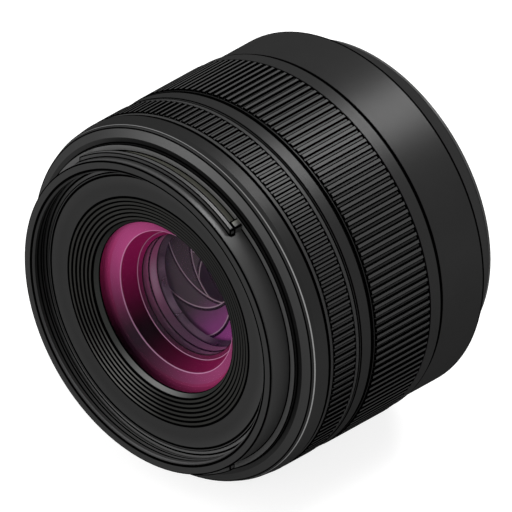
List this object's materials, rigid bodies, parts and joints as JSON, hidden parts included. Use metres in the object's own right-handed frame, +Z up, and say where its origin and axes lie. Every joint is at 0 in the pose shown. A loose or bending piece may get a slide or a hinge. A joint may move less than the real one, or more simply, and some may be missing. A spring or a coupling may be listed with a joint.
{
  "type": "prime camera lens",
  "caption": "Compact manual-focus prime camera lens with ribbed aperture and focus rings, hood bayonet, bladed iris, internal focusing group and a bayonet camera mount.",
  "frame": {"origin": "centre of the camera mount's seating face, on the optical axis", "axes": "-Y along the optical axis towards the subject, +Z up, +X to the right seen from the front"},
  "size_m": [0.06, 0.0535, 0.06],
  "materials": {
    "barrel_black": "matte black anodised",
    "grip_rubber": "moulded ribs",
    "gasket_rubber": "smooth",
    "name_ring_black": "satin black anodised",
    "baffle_black": "matte black anodised",
    "inner_aluminium": "black anodised",
    "brass": "machined",
    "mount_chrome": "satin plated",
    "screw_steel": "machined",
    "blade_black": "blackened foil",
    "lens_glass": "coated",
    "contact_plastic": "moulded",
    "contact_gold": "gold plated",
    "board_green": "solder mask",
    "chip_black": "moulded",
    "flex_amber": "polyimide film"
  },
  "bodies": {
    "lens_barrel": {"front_ring": "barrel_black", "front_screws": "screw_steel", "name_ring": "name_ring_black", "front_baffle": "baffle_black", "front_retaining_ring": "baffle_black", "front_element": "lens_glass", "front_cell": "baffle_black", "second_element": "lens_glass", "second_retaining_ring": "baffle_black", "main_barrel": "barrel_black", "iris_base_plate": "inner_aluminium", "iris_cover": "inner_aluminium", "iris_screws": "screw_steel", "click_spring": "screw_steel", "guide_barrel": "inner_aluminium", "guide_screws": "screw_steel", "cam_stop_ring": "brass", "rear_barrel": "barrel_black", "barrel_screws": "screw_steel", "mount_ring": "mount_chrome", "mount_screws": "screw_steel", "mount_gasket": "gasket_rubber", "rear_cell": "inner_aluminium", "rear_cell_screws": "screw_steel", "rear_element": "lens_glass", "rear_retaining_ring": "baffle_black", "rear_cover": "baffle_black", "contact_block": "contact_plastic", "contacts": "contact_gold", "circuit_board": "board_green", "board_screws": "screw_steel", "circuit_chips": "chip_black", "flex_cable": "flex_amber"},
    "aperture_ring": {"aperture_ring": "barrel_black", "aperture_key": "screw_steel", "iris_drive_ring": "brass"},
    "focus_ring": {"focus_ring": "barrel_black", "focus_grip": "grip_rubber", "cam_barrel": "brass", "focus_key": "brass", "focus_key_screw": "screw_steel"},
    "focus_group": {"focus_carriage": "inner_aluminium", "follower_pins": "screw_steel", "doublet_front_element": "lens_glass", "doublet_rear_element": "lens_glass", "doublet_retaining_ring": "baffle_black", "fifth_element": "lens_glass", "fifth_retaining_ring": "baffle_black"},
    "click_ball": {"click_ball": "screw_steel"},
    "iris_blade_1": {"iris_blade_1": "blade_black"},
    "iris_blade_2": {"iris_blade_2": "blade_black"},
    "iris_blade_3": {"iris_blade_3": "blade_black"},
    "iris_blade_4": {"iris_blade_4": "blade_black"},
    "iris_blade_5": {"iris_blade_5": "blade_black"},
    "iris_blade_6": {"iris_blade_6": "blade_black"},
    "iris_blade_7": {"iris_blade_7": "blade_black"}
  },
  "joints": [
    {"name": "aperture_turn", "type": "hinge", "parent": "lens_barrel", "child": "aperture_ring", "pos_m": [0, -0.0364, 0], "axis": [0, -1, 0], "range_deg": [-33.75, 11.25]},
    {"name": "focus_turn", "type": "hinge", "parent": "lens_barrel", "child": "focus_ring", "pos_m": [0, -0.0225, 0], "axis": [0, -1, 0], "range_deg": [0, 90]},
    {"name": "focus_slide", "type": "slide", "parent": "lens_barrel", "child": "focus_group", "axis": [0, -1, 0], "range_m": [0, 0.0036]},
    {"name": "click_press", "type": "slide", "parent": "lens_barrel", "child": "click_ball", "axis": [-1, 0, 0], "range_m": [0, 0.0002], "stiffness_N_per_m": 200, "springref_m": 0.0002},
    {"name": "blade_turn_1", "type": "hinge", "parent": "lens_barrel", "child": "iris_blade_1", "pos_m": [0.01633, -0.0336, 0.0054], "axis": [0, -1, 0], "range_deg": [-21.65, 7.35]},
    {"name": "blade_turn_2", "type": "hinge", "parent": "lens_barrel", "child": "iris_blade_2", "pos_m": [0.00596, -0.0336, 0.01614], "axis": [0, -1, 0], "range_deg": [-21.65, 7.35]},
    {"name": "blade_turn_3", "type": "hinge", "parent": "lens_barrel", "child": "iris_blade_3", "pos_m": [-0.0089, -0.0336, 0.01472], "axis": [0, -1, 0], "range_deg": [-21.65, 7.35]},
    {"name": "blade_turn_4", "type": "hinge", "parent": "lens_barrel", "child": "iris_blade_4", "pos_m": [-0.01706, -0.0336, 0.00222], "axis": [0, -1, 0], "range_deg": [-21.65, 7.35]},
    {"name": "blade_turn_5", "type": "hinge", "parent": "lens_barrel", "child": "iris_blade_5", "pos_m": [-0.01237, -0.0336, -0.01195], "axis": [0, -1, 0], "range_deg": [-21.65, 7.35]},
    {"name": "blade_turn_6", "type": "hinge", "parent": "lens_barrel", "child": "iris_blade_6", "pos_m": [0.00163, -0.0336, -0.01712], "axis": [0, -1, 0], "range_deg": [-21.65, 7.35]},
    {"name": "blade_turn_7", "type": "hinge", "parent": "lens_barrel", "child": "iris_blade_7", "pos_m": [0.0144, -0.0336, -0.0094], "axis": [0, -1, 0], "range_deg": [-21.65, 7.35]}
  ],
  "couplings": [
    {"joint": "focus_slide", "follows": "focus_turn", "m_per_rad": 0.0022918},
    {"joint": "blade_turn_1", "follows": "aperture_turn", "ratio": 0.63556},
    {"joint": "blade_turn_2", "follows": "aperture_turn", "ratio": 0.63556},
    {"joint": "blade_turn_3", "follows": "aperture_turn", "ratio": 0.63556},
    {"joint": "blade_turn_4", "follows": "aperture_turn", "ratio": 0.63556},
    {"joint": "blade_turn_5", "follows": "aperture_turn", "ratio": 0.63556},
    {"joint": "blade_turn_6", "follows": "aperture_turn", "ratio": 0.63556},
    {"joint": "blade_turn_7", "follows": "aperture_turn", "ratio": 0.63556}
  ]
}
